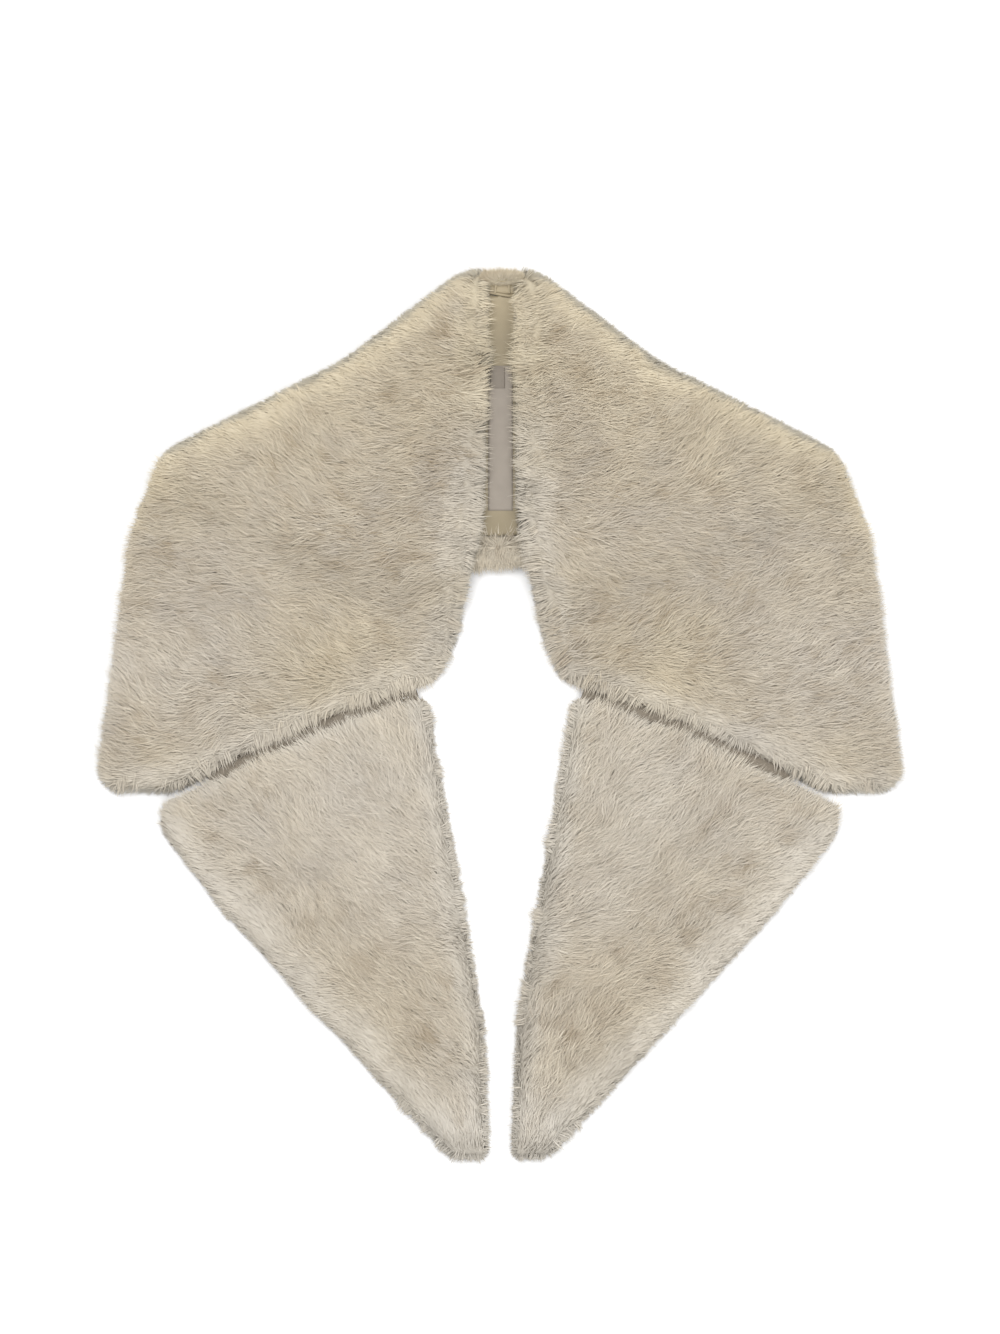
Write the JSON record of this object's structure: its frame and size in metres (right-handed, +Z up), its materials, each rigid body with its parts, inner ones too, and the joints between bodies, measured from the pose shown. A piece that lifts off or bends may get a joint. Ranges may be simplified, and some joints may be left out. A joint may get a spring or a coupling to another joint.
{
  "type": "fur collar wrap",
  "caption": "Faux-fur shoulder collar with notched lapels, laid flat with its front wings folded over the satin-lined back panel.",
  "frame": {"origin": "on the resting surface, at the middle of the outline", "axes": "+Y up the centre line towards the neck edge, +X to the right as seen from above, +Z up from the surface"},
  "size_m": [0.6458, 0.716, 0.0286],
  "materials": {
    "fur": "cream faux-fur pile, soft and matt, paler and yellower towards the shoulders",
    "satin": "tan satin with a soft sheen",
    "label_tape": "plain woven label tape, bare"
  },
  "bodies": {
    "root": {"back_panel": "fur", "back_lining": "satin", "wing_left": "fur", "wing_right": "fur", "lapel_left": "fur", "lapel_right": "fur", "hang_loop": "satin", "care_label": "label_tape", "size_tab": "label_tape"}
  },
  "joints": []
}
